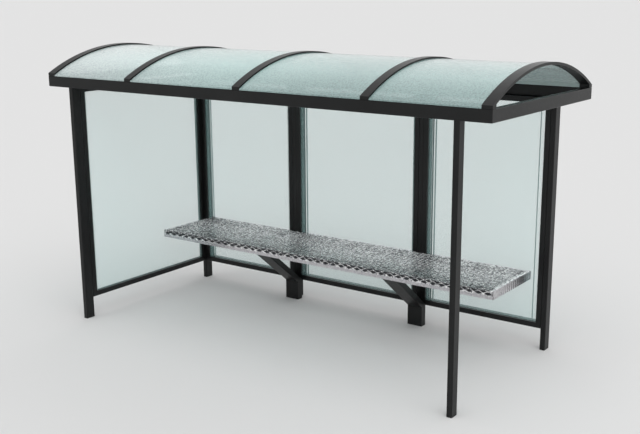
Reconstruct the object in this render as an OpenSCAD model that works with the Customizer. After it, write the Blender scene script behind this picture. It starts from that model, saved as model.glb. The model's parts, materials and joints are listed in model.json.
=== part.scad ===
// Bus shelter with an open right end: six posts, an eave frame, a barrel roof of
// curved panes between ribs, glazed back and left end, and a bench on two brackets.
// +X runs along the shelter, +Y to its back. The origin is on the floor, under the
// middle of the roof.

/* [Roof frame] */
// Length of the eave frame, end to end
roof_len = 4150; // [3400:10:5000]
// Depth of the eave frame, front to back
roof_dep = 1650; // [1350:2:2050]
// Height from the floor to the underside of the eave frame
eave_h = 2024; // [1850:1:2450]
// Width of an eave beam, seen from above
beam_w = 50; // [40:1:60]
// Height of an eave beam
beam_h = 88; // [60:1:110]
// Wall thickness of the beams
beam_wall = 4; // [3:0.5:6]
// Radius along the long edges of beams and posts
edge_r = 6; // [3:0.5:8]

/* [Roof] */
// Rise of the rib crowns above the eave beams
crown_rise = 236; // [180:1:290]
// Thickness of a rib, towards the arch centre
rib_t = 20; // [16:1:30]
// Width of the ribs between the panes
rib_w = 70; // [50:1:90]
// Width of the ribs at the two ends
end_rib_w = 78; // [60:1:100]
// Distance from the middle rib to the rib on each side
rib_pitch = 1127; // [940:1:1300]
// Thickness of the curved roof panes
roof_pane_t = 8; // [6:1:12]
// Gap between a roof pane and the rib beside it
roof_pane_gap = 1; // [0.5:0.5:2]
// Gap between a roof pane and the seal under it
seal_gap = 0.3; // [0.2:0.1:0.5]

/* [Posts] */
// Width of a post along the shelter
post_w = 44; // [36:1:52]
// Depth of a post, front to back
post_d = 86; // [70:1:100]
// Depth of the free-standing front right post
slim_post_d = 74; // [60:1:88]
// Wall thickness of the posts
post_wall = 4; // [3:0.5:6]
// Overhang of the roof past the end posts
end_overhang = 232; // [160:1:260]
// Step from the frame's front and back faces in to the posts
post_inset = 10; // [6:1:40]
// Distance between the two middle posts of the back, centre to centre
mid_post_pitch = 1334; // [1100:2:1600]

/* [Glazing] */
// Thickness of the wall panes
pane_t = 10; // [8:1:12]
// Width of the upright channels beside the posts
channel_w = 42; // [30:1:50]
// Step from a post's back face in to the back channels and rails
channel_setback = 8; // [0:1:14]
// Height of the top and bottom rails
rail_h = 43; // [36:1:60]
// Height from the floor to the underside of the bottom rails
rail_low = 180; // [120:1:240]
// Step from a channel's inner face to the middle of its pane
pane_step = 22; // [16:1:24]
// Depth that a pane's edge enters its channel
pane_bite = 14; // [10:1:20]
// Room past a pane's edge in its channel
pane_end_gap = 4; // [2:0.5:6]
// Room between a pane and each cheek of its channel
pane_side_gap = 1.5; // [1:0.25:3]

/* [Bench] */
// Gap from each end of the seat to the end post beside it
seat_end_gap = 103; // [20:1:400]
// Step from the middle of the roof to the seat's front edge
seat_front = 64; // [20:1:140]
// Height from the floor to the top of the seat
seat_h = 645; // [540:1:760]
// Height of the folded edges of the seat
seat_lip = 69; // [54:1:90]
// Thickness of the folded sheet
seat_t = 4; // [3:0.5:6]
// Width of a bracket along the shelter
bracket_w = 140; // [116:1:164]
// Depth of a bracket's upright leg
leg_d = 62; // [50:1:74]
// Thickness of a bracket's sloping arm
arm_t = 50; // [40:1:60]
// Height of the bend where the arm leaves the leg
bend_h = 173; // [140:1:210]
// Step from the seat's front edge back to the top of the arm
arm_setback = 26; // [8:1:70]
// Wall thickness of the brackets
bracket_wall = 5; // [3:0.5:6]

/* [Hidden] */
$fn = 48;
steel = "#2a2b2c";
seal = "#151515";
wall_tint = [0.80, 0.87, 0.85, 0.45];
roof_tint = [0.72, 0.84, 0.83, 0.60];
silver = "#b4b7ba";

// Eave frame and arch. The inside of the arch meets the tops of the front and back
// beams at their outer faces.
half_len = roof_len / 2;
half_dep = roof_dep / 2;
beam_top = eave_h + beam_h;
arch_rise = crown_rise - rib_t;
arch_r = (half_dep ^ 2 + arch_rise ^ 2) / (2 * arch_rise);
arch_z = beam_top + arch_rise - arch_r;
arch_sides = 720;
end_rib_x = half_len - end_rib_w / 2;

// Posts: centres along the shelter, and the faces that the glazing meets
end_post_x = half_len - end_overhang - post_w / 2;
mid_post_x = mid_post_pitch / 2;
front_face_y = -half_dep + post_inset;
back_face_y = half_dep - post_inset - post_d;
end_bay_span = back_face_y - front_face_y - post_d;
back_channel_d = post_d - channel_setback;
end_channel_d = post_w;

// Panes stand on the floor of the bottom rail's slot and stop short of the others
slot_w = pane_t + 2 * pane_side_gap;
slot_d = pane_bite + pane_end_gap;
rail_top = rail_low + rail_h;
top_rail_low = eave_h - rail_h;
pane_low = rail_top - slot_d;
pane_high = top_rail_low + pane_bite;

// Seat: its half length, its depth, and the underside that the brackets carry
seat_half = end_post_x - post_w / 2 - seat_end_gap;
seat_depth = back_face_y - seat_front;
seat_under = seat_h - seat_t;

// Bracket outline, front to back: the leg stands against the post's face and the arm
// slopes from the bend to the seat
leg_face_y = back_face_y - leg_d;
arm_reach = leg_face_y - seat_front - arm_setback;
arm_slope = atan2(seat_under - bend_h, arm_reach);
arm_across = arm_t / sin(arm_slope);
arm_up = arm_t / cos(arm_slope);
bend_back_h = bend_h + arm_up - leg_d * tan(arm_slope);

// Outline of a box section with rounded corners, centred
module section(wide, deep, radius) {
    square([wide, deep - 2 * radius], center = true);
    square([wide - 2 * radius, deep], center = true);
    for (x = [-1, 1], y = [-1, 1])
        translate([x * (wide / 2 - radius), y * (deep / 2 - radius)]) circle(radius);
}

// Eave beam: a box section along X with mitred ends, its outer face on y = 0
module mitred_beam(run) {
    color(steel) intersection() {
        translate([-run / 2, beam_w / 2, beam_h / 2]) rotate([90, 0, 90])
            linear_extrude(run) difference() {
                section(beam_w, beam_h, edge_r);
                square([beam_w - 2 * beam_wall, beam_h - 2 * beam_wall], center = true);
            }
        linear_extrude(beam_h) polygon([
            [-run / 2, 0],
            [run / 2, 0],
            [run / 2 - beam_w, beam_w],
            [-run / 2 + beam_w, beam_w]
        ]);
    }
}

module front_beam() {
    translate([0, -half_dep, eave_h]) mitred_beam(roof_len);
}

module back_beam() {
    translate([0, half_dep, eave_h]) rotate([0, 0, 180]) mitred_beam(roof_len);
}

module left_end_beam() {
    translate([-half_len, 0, eave_h]) rotate([0, 0, -90]) mitred_beam(roof_dep);
}

module right_end_beam() {
    translate([half_len, 0, eave_h]) rotate([0, 0, 90]) mitred_beam(roof_dep);
}

// Everything under the arch's inside face, down to the beam tops, between two depths
module under_arch(from_y, to_y, extra) {
    intersection() {
        translate([0, arch_z]) circle(arch_r + extra, $fn = arch_sides);
        translate([from_y, beam_top]) square([to_y - from_y, crown_rise]);
    }
}

// Curved band of the roof, from the arch's inside face outwards
module arch_band(thick) {
    difference() {
        under_arch(-half_dep, half_dep, thick);
        translate([0, arch_z]) circle(arch_r, $fn = arch_sides);
    }
}

// Extrudes an outline drawn front to back along the shelter, from one place to another
module along_shelter(from_x, to_x) {
    translate([from_x, 0, 0]) rotate([90, 0, 90]) linear_extrude(to_x - from_x) children();
}

// Rib: the band with a wedge foot on each beam, as wide as the beam
module rib(x, wide) {
    color(steel) along_shelter(x - wide / 2, x + wide / 2) {
        arch_band(rib_t);
        under_arch(-half_dep, -half_dep + beam_w, 0);
        under_arch(half_dep - beam_w, half_dep, 0);
    }
}

module roof_pane(from_x, to_x) {
    color(roof_tint) along_shelter(from_x + roof_pane_gap, to_x - roof_pane_gap)
        arch_band(roof_pane_t);
}

// Where each pane starts and stops between the ribs, left to right
pane_starts = [-end_rib_x + end_rib_w / 2, -rib_pitch + rib_w / 2, rib_w / 2,
    rib_pitch + rib_w / 2];
pane_stops = [-rib_pitch - rib_w / 2, -rib_w / 2, rib_pitch - rib_w / 2,
    end_rib_x - end_rib_w / 2];

// Wedge seal that a row of roof panes sits on, one length under each pane
module roof_seal(from_y) {
    color(seal) for (i = [0:3])
        along_shelter(pane_starts[i] + roof_pane_gap, pane_stops[i] - roof_pane_gap)
            under_arch(from_y, from_y + beam_w, -seal_gap);
}

// Post: a box section with a closed foot, open under the beam that it carries
module post(x, face_y, deep) {
    color(steel) translate([x, face_y + deep / 2, 0]) difference() {
        linear_extrude(eave_h) section(post_w, deep, edge_r);
        translate([0, 0, post_wall]) linear_extrude(eave_h)
            square([post_w - 2 * post_wall, deep - 2 * post_wall], center = true);
    }
}

// The glazing of a bay, drawn along X from 0 to span with its inner face on y = 0
module bay_bottom_rail(span, deep, step) {
    color(steel) difference() {
        translate([0, 0, rail_low]) cube([span, deep, rail_h]);
        translate([-1, step - slot_w / 2, pane_low]) cube([span + 2, slot_w, slot_d + 1]);
    }
}

module bay_top_rail(span, deep, step) {
    color(steel) difference() {
        translate([0, 0, top_rail_low]) cube([span, deep, rail_h]);
        translate([-1, step - slot_w / 2, top_rail_low - 1])
            cube([span + 2, slot_w, slot_d + 1]);
    }
}

module bay_channel(deep, step) {
    color(steel) translate([0, 0, rail_top]) difference() {
        cube([channel_w, deep, top_rail_low - rail_top]);
        translate([channel_w - slot_d, step - slot_w / 2, -1])
            cube([slot_d + 1, slot_w, top_rail_low - rail_top + 2]);
    }
}

module bay_channels(span, deep, step) {
    bay_channel(deep, step);
    translate([span, 0, 0]) mirror([1, 0, 0]) bay_channel(deep, step);
}

module bay_pane(span, step) {
    side = channel_w - pane_bite;
    color(wall_tint) translate([side, step - pane_t / 2, pane_low])
        cube([span - 2 * side, pane_t, pane_high - pane_low]);
}

// Back bays run between the faces of neighbouring posts
left_bay_x = -end_post_x + post_w / 2;
middle_bay_x = -mid_post_x + post_w / 2;
right_bay_x = mid_post_x + post_w / 2;
side_bay_span = end_post_x - mid_post_x - post_w;
middle_bay_span = 2 * mid_post_x - post_w;

module in_back(bay_x) {
    translate([bay_x, back_face_y, 0]) children();
}

// The left end runs from the front post to the back post, set in the posts' width
module in_left_end() {
    translate([-end_post_x + post_w / 2, front_face_y + post_d, 0])
        rotate([0, 0, 90]) children();
}

// Seat: one sheet folded down on all four sides, its back edge on the posts
module bench_seat() {
    color(silver) difference() {
        translate([-seat_half, seat_front, seat_h - seat_lip])
            cube([2 * seat_half, seat_depth, seat_lip]);
        translate([-seat_half + seat_t, seat_front + seat_t, seat_h - seat_lip - 1])
            cube([2 * (seat_half - seat_t), seat_depth - 2 * seat_t, seat_lip - seat_t + 1]);
    }
}

// Bracket leg: it stands against the post up to the mitre with the arm
module leg_outline() {
    polygon([
        [leg_face_y, 0],
        [back_face_y, 0],
        [back_face_y, bend_back_h],
        [leg_face_y, bend_h]
    ]);
}

// Bracket arm: it slopes from the mitre up to the underside of the seat
module arm_outline() {
    polygon([
        [leg_face_y, bend_h],
        [back_face_y, bend_back_h],
        [leg_face_y - arm_reach + arm_across, seat_under],
        [leg_face_y - arm_reach, seat_under]
    ]);
}

// The hollow runs through both at the wall's distance and opens under the seat
module bracket_hollow() {
    leg_in = leg_face_y + bracket_wall;
    leg_out = back_face_y - bracket_wall;
    wall_across = bracket_wall / sin(arm_slope);
    wall_up = bracket_wall / cos(arm_slope);
    bend_in = bend_h - bracket_wall * tan(arm_slope) + wall_up;
    bend_out = bend_back_h - wall_up + bracket_wall * tan(arm_slope);
    polygon([
        [leg_in, bracket_wall],
        [leg_out, bracket_wall],
        [leg_out, bend_out],
        [leg_face_y - arm_reach + arm_across - wall_across, seat_under],
        [leg_face_y - arm_reach + wall_across, seat_under],
        [leg_in, bend_in]
    ]);
}

module bracket_piece(x) {
    color(steel) difference() {
        along_shelter(x - bracket_w / 2, x + bracket_w / 2) children();
        along_shelter(x - bracket_w / 2 + bracket_wall, x + bracket_w / 2 - bracket_wall)
            bracket_hollow();
    }
}

front_beam();
back_beam();
left_end_beam();
right_end_beam();
rib(-end_rib_x, end_rib_w);  // roof_rib_left_end
rib(-rib_pitch, rib_w);  // roof_rib_left
rib(0, rib_w);  // roof_rib_middle
rib(rib_pitch, rib_w);  // roof_rib_right
rib(end_rib_x, end_rib_w);  // roof_rib_right_end
roof_pane(pane_starts[0], pane_stops[0]);  // roof_pane_left_end
roof_pane(pane_starts[1], pane_stops[1]);  // roof_pane_left
roof_pane(pane_starts[2], pane_stops[2]);  // roof_pane_right
roof_pane(pane_starts[3], pane_stops[3]);  // roof_pane_right_end
roof_seal(-half_dep);  // front_roof_seal
roof_seal(half_dep - beam_w);  // back_roof_seal
post(-end_post_x, front_face_y, post_d);  // front_left_post
post(end_post_x, front_face_y, slim_post_d);  // front_right_post
post(-end_post_x, back_face_y, post_d);  // back_left_post
post(-mid_post_x, back_face_y, post_d);  // back_mid_left_post
post(mid_post_x, back_face_y, post_d);  // back_mid_right_post
post(end_post_x, back_face_y, post_d);  // back_right_post
in_left_end() bay_pane(end_bay_span, end_channel_d / 2);  // left_end_pane
in_back(left_bay_x) bay_pane(side_bay_span, pane_step);  // back_left_pane
in_back(middle_bay_x) bay_pane(middle_bay_span, pane_step);  // back_middle_pane
in_back(right_bay_x) bay_pane(side_bay_span, pane_step);  // back_right_pane
in_left_end() bay_bottom_rail(end_bay_span, end_channel_d, end_channel_d / 2);  // left_end_bottom_rail
in_back(left_bay_x) bay_bottom_rail(side_bay_span, back_channel_d, pane_step);  // back_left_bottom_rail
in_back(middle_bay_x) bay_bottom_rail(middle_bay_span, back_channel_d, pane_step);  // back_middle_bottom_rail
in_back(right_bay_x) bay_bottom_rail(side_bay_span, back_channel_d, pane_step);  // back_right_bottom_rail
in_left_end() bay_top_rail(end_bay_span, end_channel_d, end_channel_d / 2);  // left_end_top_rail
in_back(left_bay_x) bay_top_rail(side_bay_span, back_channel_d, pane_step);  // back_left_top_rail
in_back(middle_bay_x) bay_top_rail(middle_bay_span, back_channel_d, pane_step);  // back_middle_top_rail
in_back(right_bay_x) bay_top_rail(side_bay_span, back_channel_d, pane_step);  // back_right_top_rail
in_left_end() bay_channels(end_bay_span, end_channel_d, end_channel_d / 2);  // left_end_channels
in_back(left_bay_x) bay_channels(side_bay_span, back_channel_d, pane_step);  // back_left_channels
in_back(middle_bay_x) bay_channels(middle_bay_span, back_channel_d, pane_step);  // back_middle_channels
in_back(right_bay_x) bay_channels(side_bay_span, back_channel_d, pane_step);  // back_right_channels
bench_seat();
bracket_piece(-mid_post_x) leg_outline();  // left_bracket_leg
bracket_piece(-mid_post_x) arm_outline();  // left_bracket_arm
bracket_piece(mid_post_x) leg_outline();  // right_bracket_leg
bracket_piece(mid_post_x) arm_outline();  // right_bracket_arm
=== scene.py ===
import bpy, bmesh, json, math
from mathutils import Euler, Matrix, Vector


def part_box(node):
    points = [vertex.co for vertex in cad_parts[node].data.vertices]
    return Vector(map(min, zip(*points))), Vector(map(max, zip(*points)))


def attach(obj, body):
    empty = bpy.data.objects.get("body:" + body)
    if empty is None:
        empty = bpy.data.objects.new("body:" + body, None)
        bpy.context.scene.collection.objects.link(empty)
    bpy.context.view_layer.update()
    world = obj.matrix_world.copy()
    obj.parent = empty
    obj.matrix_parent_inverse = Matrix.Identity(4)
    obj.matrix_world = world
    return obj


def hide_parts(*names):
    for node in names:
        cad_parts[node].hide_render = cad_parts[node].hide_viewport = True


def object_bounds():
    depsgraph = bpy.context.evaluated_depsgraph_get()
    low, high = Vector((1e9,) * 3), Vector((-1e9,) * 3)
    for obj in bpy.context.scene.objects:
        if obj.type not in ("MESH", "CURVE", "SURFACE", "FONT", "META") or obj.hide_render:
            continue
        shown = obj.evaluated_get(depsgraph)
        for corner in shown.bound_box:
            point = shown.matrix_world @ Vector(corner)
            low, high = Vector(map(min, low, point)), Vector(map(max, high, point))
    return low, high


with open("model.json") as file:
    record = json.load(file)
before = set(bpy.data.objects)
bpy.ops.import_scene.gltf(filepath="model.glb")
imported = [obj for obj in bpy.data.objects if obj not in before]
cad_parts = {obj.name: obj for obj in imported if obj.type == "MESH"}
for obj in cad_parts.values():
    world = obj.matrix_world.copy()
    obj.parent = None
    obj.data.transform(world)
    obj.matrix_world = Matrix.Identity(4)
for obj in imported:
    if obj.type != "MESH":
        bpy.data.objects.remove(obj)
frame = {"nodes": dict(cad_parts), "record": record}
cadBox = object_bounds()  # the bounds of the CAD pieces
nodes = frame["nodes"]
scene = bpy.context.scene
creaseAngle = 32  # degrees: a sharper edge than this isn't smoothed over
print("frame loaded:", len(nodes), "CAD nodes")


# camera, floor and light
cameraSetup = {
    "place": (4.7505, -6.2777, 2.8446),
    "pitchDown": 13.81,   # degrees below level
    "turn": 34.44,        # degrees round from looking along +Y
    "lens": 55.17,
    "shiftX": -0.0464,
    "shiftY": 0.0165,
    "clip": (0.1, 1500),
}


def addCamera(setup):
    data = bpy.data.cameras.new("shelterCamera")
    data.lens = setup["lens"]
    data.shift_x = setup["shiftX"]
    data.shift_y = setup["shiftY"]
    data.clip_start, data.clip_end = setup["clip"]
    camera = bpy.data.objects.new("shelterCamera", data)
    camera.location = setup["place"]
    tilt, turn = math.radians(90 - setup["pitchDown"]), math.radians(setup["turn"])
    camera.rotation_euler = Euler((tilt, 0, turn))
    scene.collection.objects.link(camera)
    scene.camera = camera


studio = {
    "floorTone": 0.69,
    "floorRadius": 500,
    "skyStrength": 0.70,
    "skyLow": 0.48,       # tone of the room at the horizon, against 1 overhead
    "skyFull": 0.62,      # height at which the room is fully bright
    "edgeTone": 1.05,     # tone of the room just over the floor's edge
    "edgeBand": (0.05, 0.12),
    "backGlow": 0.95,     # extra light from behind
    "backBand": (0.35, 0.85),
    "sunPower": 1.42,
    "sunWidth": 80,       # degrees across: a broad soft box
    "sunFrom": (0.40, -0.62, 1.0),
    "sidePower": 16,
    "sidePlace": (6.5, -0.5, 2.6),
    "sideAim": (0, 0, 1.2),
    "sideSize": 3.0,
}


def addRange(tree, fromMin=0, fromMax=1, toMin=0, toMax=1):
    span = tree.nodes.new("ShaderNodeMapRange")
    span.inputs["From Min"].default_value = fromMin
    span.inputs["From Max"].default_value = fromMax
    span.inputs["To Min"].default_value = toMin
    span.inputs["To Max"].default_value = toMax
    return span


def addRamp(tree, stops):
    ramp = tree.nodes.new("ShaderNodeValToRGB")
    elements = ramp.color_ramp.elements
    while len(elements) < len(stops):
        elements.new(0.5)
    for element, (position, tone) in zip(elements, stops):
        element.position = position
        element.color = (*tone, 1)
    return ramp


def addLight(name, kind, place, aim, power):
    data = bpy.data.lights.new(name, kind)
    data.energy = power
    light = bpy.data.objects.new(name, data)
    light.location = place
    light.rotation_euler = (Vector(aim) - Vector(place)).to_track_quat("-Z", "Y").to_euler()
    scene.collection.objects.link(light)
    return data


def addSky(setup):
    world = bpy.data.worlds.new("studioWorld")
    world.use_nodes = True
    scene.world = world
    tree = world.node_tree
    link = tree.links.new
    background = tree.nodes["Background"]
    background.inputs["Strength"].default_value = setup["skyStrength"]
    # bright overhead and dimmer towards the horizon, with a glow from behind
    where = tree.nodes.new("ShaderNodeTexCoord")
    split = tree.nodes.new("ShaderNodeSeparateXYZ")
    sky = addRamp(tree, [(0.0, (setup["skyLow"],) * 3), (setup["skyFull"], (1, 1, 1))])
    behind = addRange(tree, *setup["backBand"], 0, setup["backGlow"])
    total = tree.nodes.new("ShaderNodeMixRGB")
    total.blend_type = "ADD"
    total.inputs["Fac"].default_value = 1
    # the strip just over the floor's edge is as pale as the floor
    edge = addRange(tree, *setup["edgeBand"], 1, 0)
    level = tree.nodes.new("ShaderNodeMixRGB")
    level.inputs["Color2"].default_value = (setup["edgeTone"],) * 3 + (1,)
    link(where.outputs["Generated"], split.inputs["Vector"])
    link(split.outputs["Z"], sky.inputs["Fac"])
    link(split.outputs["Y"], behind.inputs["Value"])
    link(split.outputs["Z"], edge.inputs["Value"])
    link(sky.outputs["Color"], total.inputs["Color1"])
    link(behind.outputs["Result"], total.inputs["Color2"])
    link(edge.outputs["Result"], level.inputs["Fac"])
    link(total.outputs["Color"], level.inputs["Color1"])
    link(level.outputs["Color"], background.inputs["Color"])


def addFloor(setup):
    mesh = bpy.data.meshes.new("studioFloor")
    bm = bmesh.new()
    bmesh.ops.create_circle(bm, cap_ends=True, segments=96, radius=setup["floorRadius"])
    bm.to_mesh(mesh)
    bm.free()
    floor = bpy.data.objects.new("studioFloor", mesh)
    scene.collection.objects.link(floor)
    material = bpy.data.materials.new("floorPaper")
    material.use_nodes = True
    shader = material.node_tree.nodes["Principled BSDF"]
    shader.inputs["Base Color"].default_value = (setup["floorTone"],) * 3 + (1,)
    shader.inputs["Roughness"].default_value = 0.9
    shader.inputs["Specular IOR Level"].default_value = 0.0
    mesh.materials.append(material)


def addLights(setup):
    sun = addLight("broadLight", "SUN", setup["sunFrom"], (0, 0, 0), setup["sunPower"])
    sun.angle = math.radians(setup["sunWidth"])
    side = addLight("sideLight", "AREA", setup["sidePlace"], setup["sideAim"], setup["sidePower"])
    side.shape = "RECTANGLE"
    side.size = side.size_y = setup["sideSize"]


addCamera(cameraSetup)
addSky(studio)
addFloor(studio)
addLights(studio)
scene.view_settings.view_transform = "Standard"
print("camera, floor and light ready")


def startMaterial(name):
    material = bpy.data.materials.new(name)
    material.use_nodes = True
    tree = material.node_tree
    place = tree.nodes.new("ShaderNodeTexCoord")
    return material, tree, tree.nodes["Principled BSDF"], place


def addNode(tree, kind, **settings):
    node = tree.nodes.new(kind)
    for key, value in settings.items():
        node.inputs[key].default_value = value
    return node


def linkTextures(tree, place, *textures):
    for texture in textures:
        tree.links.new(place.outputs["Object"], texture.inputs["Vector"])


def linkBump(tree, shader, height, bump):
    tree.links.new(height, bump.inputs["Height"])
    tree.links.new(bump.outputs["Normal"], shader.inputs["Normal"])


def alongAxis(tree, place, axis, start, stop):  # 0 to 1 from start to stop, in metres
    split = tree.nodes.new("ShaderNodeSeparateXYZ")
    span = addRange(tree, start, stop)
    tree.links.new(place.outputs["Object"], split.inputs["Vector"])
    tree.links.new(split.outputs[axis], span.inputs["Value"])
    return span


def multiplyColors(tree, first, second):
    mix = tree.nodes.new("ShaderNodeMixRGB")
    mix.blend_type = "MULTIPLY"
    mix.inputs["Fac"].default_value = 1
    tree.links.new(first.outputs["Color"], mix.inputs["Color1"])
    tree.links.new(second.outputs["Color"], mix.inputs["Color2"])
    return mix


paintLook = {
    "deep": (0.0055, 0.0060, 0.0062),
    "worn": (0.0115, 0.0122, 0.0124),
    "scuffed": (0.82, 0.82, 0.82),  # tone of a scuff, against 1 beside it
    "glossLow": 0.30,
    "glossHigh": 0.46,
    "specular": 0.26,
    "peelScale": 420.0,
    "slowScale": 2.3,
    "scuffScale": 38.0,
}


def framePaint(look):
    material, tree, shader, place = startMaterial("framePaint")
    # powder coat: a fine orange peel, slow changes of tone, and a few duller scuffs
    peel = addNode(tree, "ShaderNodeTexNoise", Scale=look["peelScale"], Detail=2.0)
    slow = addNode(tree, "ShaderNodeTexNoise", Scale=look["slowScale"], Detail=3.0)
    scuff = addNode(tree, "ShaderNodeTexNoise", Scale=look["scuffScale"], Detail=4.0)
    bump = addNode(tree, "ShaderNodeBump", Strength=0.12, Distance=0.0006)
    tint = addRamp(tree, [(0.30, look["deep"]), (0.72, look["worn"])])
    scuffTone = addRamp(tree, [(0.45, look["scuffed"]), (0.70, (1, 1, 1))])
    gloss = addRange(tree, 0, 1, look["glossLow"], look["glossHigh"])
    shader.inputs["Specular IOR Level"].default_value = look["specular"]
    linkTextures(tree, place, peel, slow, scuff)
    linkBump(tree, shader, peel.outputs["Fac"], bump)
    link = tree.links.new
    link(slow.outputs["Fac"], tint.inputs["Fac"])
    link(scuff.outputs["Fac"], scuffTone.inputs["Fac"])
    link(multiplyColors(tree, tint, scuffTone).outputs["Color"], shader.inputs["Base Color"])
    link(scuff.outputs["Fac"], gloss.inputs["Value"])
    link(gloss.outputs["Result"], shader.inputs["Roughness"])
    return material


roofLook = {
    "cover": 0.70,        # how much each face of the patterned glass hides
    # the glass's own green tint, with painted reflection: lighter at the left end, darker at the
    # right
    "leftTone": (0.86, 0.98, 0.97),
    "middleTone": (0.59, 0.83, 0.80),
    "rightTone": (0.43, 0.62, 0.60),
    "eaveShade": 0.68,    # painted reflection, darker towards the eaves
    "speckTone": (0.52, 0.50, 0.54),
    "speckAtEave": 0.6,   # strength of the specks, which fade towards the crest
    "speckAtCrest": 0.3,
    "speckScale": 72.0,
    "dimple": 80.0,
    "roughness": 0.12,
    "gloss": 0.8,
}


def roofGlass(look):
    material, tree, shader, place = startMaterial("roofGlass")
    low, high = cadBox
    along = alongAxis(tree, place, "X", low[0], high[0])
    up = alongAxis(tree, place, "Z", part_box("front_beam")[1].z, high[2])
    # painted reflection: the tint runs from light at the left end to dark at the right
    tone = addRamp(tree, [(0.0, look["leftTone"]), (0.42, look["middleTone"]),
                          (0.70, look["rightTone"])])
    # painted reflection: the glass darkens towards the eaves
    shade = addRamp(tree, [(0.0, (look["eaveShade"],) * 3), (0.62, (1, 1, 1))])
    # rain-pattern glass: small dimples all over, and darker specks
    dimple = addNode(tree, "ShaderNodeTexVoronoi", Scale=look["dimple"])
    fine = addNode(tree, "ShaderNodeTexNoise", Scale=look["speckScale"], Detail=4.0)
    speck = addRamp(tree, [(0.38, look["speckTone"]), (0.54, (1, 1, 1))])
    fade = addRange(tree, 0, 1, look["speckAtEave"], look["speckAtCrest"])
    bump = addNode(tree, "ShaderNodeBump", Strength=0.6, Distance=0.004)
    shader.inputs["Roughness"].default_value = look["roughness"]
    shader.inputs["Coat Weight"].default_value = look["gloss"]
    shader.inputs["Coat Roughness"].default_value = 0.05
    shader.inputs["Alpha"].default_value = look["cover"]
    linkTextures(tree, place, dimple, fine)
    linkBump(tree, shader, dimple.outputs["Distance"], bump)
    link = tree.links.new
    link(along.outputs["Result"], tone.inputs["Fac"])
    link(up.outputs["Result"], shade.inputs["Fac"])
    link(fine.outputs["Fac"], speck.inputs["Fac"])
    speckled = multiplyColors(tree, multiplyColors(tree, tone, shade), speck)
    link(up.outputs["Result"], fade.inputs["Value"])
    link(fade.outputs["Result"], speckled.inputs["Fac"])
    link(speckled.outputs["Color"], shader.inputs["Base Color"])
    return material


wallLook = {
    "cover": 0.20,        # how much each face of the glass hides
    "clearTone": (0.44, 0.76, 0.74),
    "frostTone": (0.66, 0.93, 0.92),
    "speckScale": 150.0,
    "dimple": 70.0,
    "roughness": 0.12,
}


def wallGlass(look):
    material, tree, shader, place = startMaterial("wallGlass")
    dimple = addNode(tree, "ShaderNodeTexVoronoi", Scale=look["dimple"])
    speck = addNode(tree, "ShaderNodeTexNoise", Scale=look["speckScale"], Detail=3.0)
    tint = addRamp(tree, [(0.40, look["clearTone"]), (0.68, look["frostTone"])])
    bump = addNode(tree, "ShaderNodeBump", Strength=0.35, Distance=0.003)
    shader.inputs["Roughness"].default_value = look["roughness"]
    shader.inputs["Alpha"].default_value = look["cover"]
    linkTextures(tree, place, dimple, speck)
    linkBump(tree, shader, dimple.outputs["Distance"], bump)
    tree.links.new(speck.outputs["Fac"], tint.inputs["Fac"])
    tree.links.new(tint.outputs["Color"], shader.inputs["Base Color"])
    return material


seatLook = {
    "dark": (0.16, 0.16, 0.18),
    "light": (1.0, 1.0, 1.0),
    "edgeDark": (0.44, 0.43, 0.45),
    "edgeLight": (0.62, 0.61, 0.63),
    "crystal": 82.0,
    "roughness": 0.26,
    # painted shade for the faces of the sheet turned away from the light
    "insideShadeTone": (0.045, 0.046, 0.052),
    "insideMetal": 0.4,
    "insideRoughness": 0.6,
}


def seatMetal(name, look, dark, light):
    material, tree, shader, place = startMaterial(name)
    # zinc: a patchwork of small crystals, some bright and some dull
    spangle = addNode(tree, "ShaderNodeTexVoronoi", Scale=look["crystal"])
    grain = addNode(tree, "ShaderNodeTexNoise", Scale=260.0, Detail=2.0)
    tint = addRamp(tree, [(0.12, dark), (0.80, light)])
    bump = addNode(tree, "ShaderNodeBump", Strength=0.25, Distance=0.0008)
    shader.inputs["Metallic"].default_value = 1.0
    shader.inputs["Roughness"].default_value = look["roughness"]
    linkTextures(tree, place, spangle, grain)
    linkBump(tree, shader, grain.outputs["Fac"], bump)
    tree.links.new(spangle.outputs["Color"], tint.inputs["Fac"])
    tree.links.new(tint.outputs["Color"], shader.inputs["Base Color"])
    return material


def seatInsidePaintedShade(look):  # painted shade on the side of the sheet turned away from the light
    material, tree, shader, place = startMaterial("seatInsidePaintedShade")
    spangle = addNode(tree, "ShaderNodeTexVoronoi", Scale=look["crystal"])
    tone = look["insideShadeTone"]
    tint = addRamp(tree, [(0.1, tuple(0.7 * c for c in tone)), (0.9, tone)])
    shader.inputs["Metallic"].default_value = look["insideMetal"]
    shader.inputs["Roughness"].default_value = look["insideRoughness"]
    linkTextures(tree, place, spangle)
    tree.links.new(spangle.outputs["Color"], tint.inputs["Fac"])
    tree.links.new(tint.outputs["Color"], shader.inputs["Base Color"])
    return material


sealTones = {
    "sealRubber": ((0.018, 0.02, 0.02), 0.6),  # tone and roughness
    "darkBead": ((0.085, 0.12, 0.115), 0.35),
    "paleBead": ((0.32, 0.40, 0.39), 0.35),
    "roofSeal": ((0.40, 0.50, 0.49), 0.4),
}


def sealMaterial(name):
    tone, roughness = sealTones[name]
    material, tree, shader, place = startMaterial(name)
    grain = addNode(tree, "ShaderNodeTexNoise", Scale=600.0, Detail=2.0)
    slow = addNode(tree, "ShaderNodeTexNoise", Scale=9.0, Detail=2.0)
    tint = addRamp(tree, [(0.3, tuple(0.8 * c for c in tone)), (0.7, tone)])
    bump = addNode(tree, "ShaderNodeBump", Strength=0.2, Distance=0.0004)
    shader.inputs["Roughness"].default_value = roughness
    linkTextures(tree, place, grain, slow)
    linkBump(tree, shader, grain.outputs["Fac"], bump)
    tree.links.new(slow.outputs["Fac"], tint.inputs["Fac"])
    tree.links.new(tint.outputs["Color"], shader.inputs["Base Color"])
    return material


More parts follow.
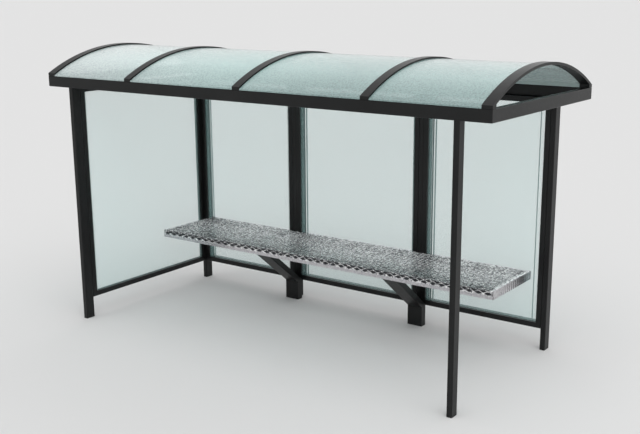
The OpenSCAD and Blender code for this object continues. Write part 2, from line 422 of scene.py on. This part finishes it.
finishes = {
    "frame_paint": framePaint(paintLook),
    "roof_glass": roofGlass(roofLook),
    "wall_glass": wallGlass(wallLook),
    "seat_metal": seatMetal("seatMetal", seatLook, seatLook["dark"], seatLook["light"]),
    "seal_rubber": sealMaterial("sealRubber"),
}
edgeFinish = seatMetal("seatEdgeMetal", seatLook, seatLook["edgeDark"], seatLook["edgeLight"])
insidePaintedShade = seatInsidePaintedShade(seatLook)
darkBead = sealMaterial("darkBead")
paleBead = sealMaterial("paleBead")
roofSeal = sealMaterial("roofSeal")
slotOf = {part["node"]: part["material_slot"] for part in frame["record"]["subparts"]}


def smoothMesh(mesh):
    mesh.polygons.foreach_set("use_smooth", [True] * len(mesh.polygons))
    mesh.set_sharp_from_angle(angle=math.radians(creaseAngle))


def finishNodes():
    for name, obj in nodes.items():
        obj.data.materials.clear()
        obj.data.materials.append(roofSeal if name.endswith("roof_seal") else finishes[slotOf[name]])
        smoothMesh(obj.data)


finishNodes()
print("materials on the CAD nodes")


def addPiece(name, verts, faces, materials, faceMaterials, smooth=True):
    mesh = bpy.data.meshes.new(name)
    mesh.from_pydata(verts, [], faces)
    for material in materials:
        mesh.materials.append(material)
    mesh.polygons.foreach_set("material_index", faceMaterials)
    mesh.validate()
    if smooth:
        smoothMesh(mesh)
    piece = bpy.data.objects.new(name, mesh)
    scene.collection.objects.link(piece)
    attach(piece, "root")
    return piece


# bench: a pierced sheet folded over the front and back
benchSetup = {
    "pitch": 0.078,       # from one opening to the next along the bench
    "row": 0.0155,        # from one staggered row to the next
    "open": 0.85,         # share of each diamond that is open
    "tip": 0.14,          # how much is cut off an opening's front and back tips
    "shorten": 0.94,      # shortens the openings, which leaves the knuckles wider
    "thick": 0.0030,
    "lift": 0.0013,       # how far a strand leans out of the sheet
    "fold": 0.007,        # radius of the folds
    "endEdge": 0.007,     # unpierced edge at each end
    "backEdge": 0.016,    # unpierced edge at the back
    "footStrip": 0.026,   # unpierced strip at the foot of the front fold
    "liner": 0.085,       # width of the angle that lines the front fold from inside
    "linerGap": 0.009,
    "linerShort": 0.004,  # how far the angle goes down past the openings
    "flute": 0.0010,      # depth of the flutes of the end folds
    "flutePitch": 0.034,
    "fluteSteps": 160,
}


def foldedPlace(low, high, fold):
    # place(along, across, out) is a point of a sheet that starts at the back edge
    # and folds down at the front
    flat = high.y - low.y - fold
    arc = math.pi / 2 * fold

    def place(along, across, out):
        if across <= flat:
            return (along, high.y - across, high.z + out)
        if across <= flat + arc:
            turn, reach = (across - flat) / fold, fold + out
            return (along, low.y + fold - reach * math.sin(turn),
                    high.z - fold + reach * math.cos(turn))
        return (along, low.y - out, high.z - fold - (across - flat - arc))
    return place, flat + arc


def benchSheet(setup):
    low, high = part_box("bench_seat")
    place, faceStart = foldedPlace(low, high, setup["fold"])
    left, right = low.x + setup["endEdge"], high.x - setup["endEdge"]
    start = setup["backEdge"]
    stop = faceStart + (high.z - low.z) - setup["fold"] - setup["footStrip"]
    columns = round((right - left) / setup["pitch"])
    rows = round((stop - start) / setup["row"])
    pitch, row = (right - left) / columns, (stop - start) / rows
    half = pitch / 2
    share, lift, thick = setup["open"], setup["lift"], setup["thick"]
    slack = 1e-6  # metres, for telling whether a place is at an end
    verts, faces, inside, known = [], [], [], {}

    # an opening is a diamond with its front and back tips cut: shares of its half length and width
    tip = setup["tip"]
    outline = [(-1, 0), (-1 + tip, tip), (-tip, 1 - tip), (tip, 1 - tip), (1 - tip, tip),
               (1, 0), (1 - tip, -tip), (tip, -1 + tip), (-tip, -1 + tip), (-1 + tip, -tip)]

    def vert(along, across, out):  # no strand stands above the seat's own faces
        verts.append(place(along, across, out - lift))
        return len(verts) - 1

    def knuckle(along, across):  # shared by the diamonds round it
        key = (round(along, 5), round(across, 5))
        if key not in known:
            known[key] = (vert(along, across, 0), vert(along, across, -thick))
        return known[key]

    def skin(points):  # both faces of a plain patch; the under face takes the painted shade
        faces.append([point[0] for point in points])
        faces.append([point[1] for point in reversed(points)])
        inside.extend((0, 1))

    for k in range(rows + 1):
        across = start + k * row
        for i in range(columns + 1):
            along = left + (i + 0.5 * (k % 2)) * pitch
            if along > right + slack:
                continue
            here = knuckle(along, across)
            ends = [knuckle(along - half, across) if along - half > left - slack else here,
                    knuckle(along, across + row) if k < rows else here,
                    knuckle(along + half, across) if along + half < right + slack else here,
                    knuckle(along, across - row) if k > 0 else here]
            if k in (0, rows) or not left + slack < along < right - slack:
                plain = [end for n, end in enumerate(ends) if end not in ends[:n]]
                if len(plain) > 2:
                    skin(plain)
                continue
            # the rim leans out at the front of the opening and in at the back
            length, width = share * half * setup["shorten"], share * row
            rim = []
            for u, v in outline:
                spot = along + u * length, across + v * width
                rim.append((vert(*spot, lift * v), vert(*spot, lift * v - thick)))
            skin([ends[0], rim[0], rim[1], rim[2], ends[1]])
            skin([ends[1], rim[2], rim[3]])
            skin([ends[1], rim[3], rim[4], rim[5], ends[2]])
            skin([ends[2], rim[5], rim[6], rim[7], ends[3]])
            skin([ends[3], rim[7], rim[8]])
            skin([ends[3], rim[8], rim[9], rim[0], ends[0]])
            for a, b in zip(rim, rim[1:] + rim[:1]):
                faces.append([a[0], a[1], b[1], b[0]])
                inside.append(0)
    # the faces marked 1 take the painted shade
    sheet = addPiece("benchSheet", verts, faces,
                     [finishes["seat_metal"], insidePaintedShade], inside, smooth=False)
    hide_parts("bench_seat")
    print("bench sheet:", columns, "by", rows, "openings,", len(faces), "faces")


def benchEdges(setup):
    # the foot of the front fold, the back fold and its edge, the liner and the fluted end folds
    low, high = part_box("bench_seat")
    fold, lift, thick, gap = setup["fold"], setup["lift"], setup["thick"], setup["linerGap"]
    ease = fold / 3  # size of the narrow flat that each fold turns over
    verts, faces, inside = [], [], []

    def plate(points, outward, shadeBothFaces=False):  # a strip of plate through rows of points; its inner face takes the painted shade, and so does its outer face where the whole strip is shaded
        first = len(verts)
        wide, count = len(points[0]), len(points)
        for rowPoints in points:
            for point, away in zip(rowPoints, outward):
                verts.append(point)
                verts.append(tuple(c - thick * d for c, d in zip(point, away)))

        def at(r, c, side):
            return first + 2 * (r * wide + c) + side

        last, end = wide - 1, count - 1
        for r in range(end):
            for c in range(last):
                faces.append([at(r, c, 0), at(r, c + 1, 0), at(r + 1, c + 1, 0), at(r + 1, c, 0)])
                faces.append([at(r, c, 1), at(r + 1, c, 1), at(r + 1, c + 1, 1), at(r, c + 1, 1)])
                inside.extend((1 if shadeBothFaces else 0, 1))
            faces.append([at(r, 0, 0), at(r + 1, 0, 0), at(r + 1, 0, 1), at(r, 0, 1)])
            faces.append([at(r, last, 0), at(r, last, 1), at(r + 1, last, 1), at(r + 1, last, 0)])
            inside.extend((0, 0))
        for c in range(last):
            faces.append([at(0, c, 0), at(0, c, 1), at(0, c + 1, 1), at(0, c + 1, 0)])
            faces.append([at(end, c, 0), at(end, c + 1, 0), at(end, c + 1, 1), at(end, c, 1)])
            inside.extend((0, 0))

    top, foot, front, back = high.z - lift, low.z, low.y, high.y
    stripTop = low.z + setup["footStrip"]
    plate([[(x, front + lift, stripTop), (x, front + lift, foot)] for x in (low.x, high.x)],
          [(0, -1, 0)] * 2)
    plate([[(x, back - setup["backEdge"], top), (x, back - ease, top),
            (x, back, top - ease), (x, back, foot)] for x in (low.x, high.x)],
          [(0, 0, 1), (0, 0.5, 0.9), (0, 0.9, 0.5), (0, 1, 0)])
    # painted shade: the liner is dark on both faces, which darkens the openings of the front fold
    # from behind
    linerY, linerZ = front + gap, top - gap
    plate([[(x, linerY + setup["liner"], linerZ), (x, linerY + gap / 2, linerZ),
            (x, linerY, linerZ - gap / 2), (x, linerY, stripTop - setup["linerShort"])]
           for x in (low.x + setup["endEdge"], high.x - setup["endEdge"])],
          [(0, 0, 1), (0, -0.5, 0.9), (0, -0.9, 0.5), (0, -1, 0)], shadeBothFaces=True)
    steps = setup["fluteSteps"]
    for side, end in ((-1, low.x), (1, high.x)):
        rowsOfPoints = []
        for n in range(steps + 1):
            y = front + lift + (back - front - lift) * n / steps
            turn = 2 * math.pi * (y - front) / setup["flutePitch"]
            x = end - side * setup["flute"] * (0.5 - 0.5 * math.cos(turn))
            rowsOfPoints.append([(end - side * setup["endEdge"], y, top), (end - side * ease, y, top),
                                 (end, y, top - ease), (x, y, top - fold), (x, y, foot)])
        plate(rowsOfPoints, [(0, 0, 1), (side * 0.5, 0, 0.9), (side * 0.9, 0, 0.5),
                             (side, 0, 0), (side, 0, 0)])
    edge = addPiece("benchEdges", verts, faces, [edgeFinish, insidePaintedShade], inside)
    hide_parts("bench_seat")
    print("bench edges:", len(faces), "faces")


benchSheet(benchSetup)
benchEdges(benchSetup)


# slim upright beads on the glass, beside the channels: shade, distance from the channel, width
beadSetup = {
    "bite": 0.014,        # depth of the pane's edge in its channel
    "thick": 0.0022,
    "flats": 4,           # flats across a bead's crown
    "start": (("dark", 0.037, 0.0075), ("pale", 0.061, 0.0075)),  # left edge of a back pane
    "stop": (("dark", 0.005, 0.007), ("pale", 0.015, 0.006)),     # right edge, and the end pane
    "lastStop": (("pale", 0.040, 0.004),),                        # right edge of the last pane
    "panes": ("back_left_pane", "back_middle_pane", "back_right_pane", "left_end_pane"),
}


def addBeads(setup):
    bite, flats = setup["bite"], setup["flats"]
    nearPi = math.pi / (flats + 0.0001)  # a touch short, so that no height is below 0
    for pane in setup["panes"]:
        low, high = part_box(pane)
        acrossX = high.x - low.x > high.y - low.y
        start, stop = (low.x, high.x) if acrossX else (low.y, high.y)
        fromStart = setup["start"] if acrossX else setup["stop"]
        fromStop = setup["lastStop"] if pane == "back_right_pane" else setup["stop"]
        strips = [(kind, start + bite + gap, wide) for kind, gap, wide in fromStart]
        strips += [(kind, stop - bite - gap - wide, wide) for kind, gap, wide in fromStop]
        # front and back face of the pane, and which way each looks
        sides = ((low.y, -1), (high.y, 1)) if acrossX else ((low.x, -1), (high.x, 1))
        verts, faces, marks = [], [], []
        for kind, near, wide in strips:
            for face, out in sides:
                # a low crowned strip, from the bottom rail to the top rail
                first = len(verts)
                for z in (low.z + bite, high.z - bite):
                    for n in range(flats + 1):
                        along = near + wide * n / flats
                        crown = math.sin(n * nearPi) ** 0.5
                        proud = face + out * setup["thick"] * crown
                        verts.append((along, proud, z) if acrossX else (proud, along, z))
                turned = (out < 0) == acrossX
                for n in range(first, first + flats):
                    quad = [n, n + 1, n + flats + 2, n + flats + 1]
                    faces.append(quad if turned else quad[::-1])
                    marks.append(0 if kind == "dark" else 1)
        addPiece(pane + ".beads", verts, faces, [darkBead, paleBead], marks)
    print("glazing beads ready")


addBeads(beadSetup)
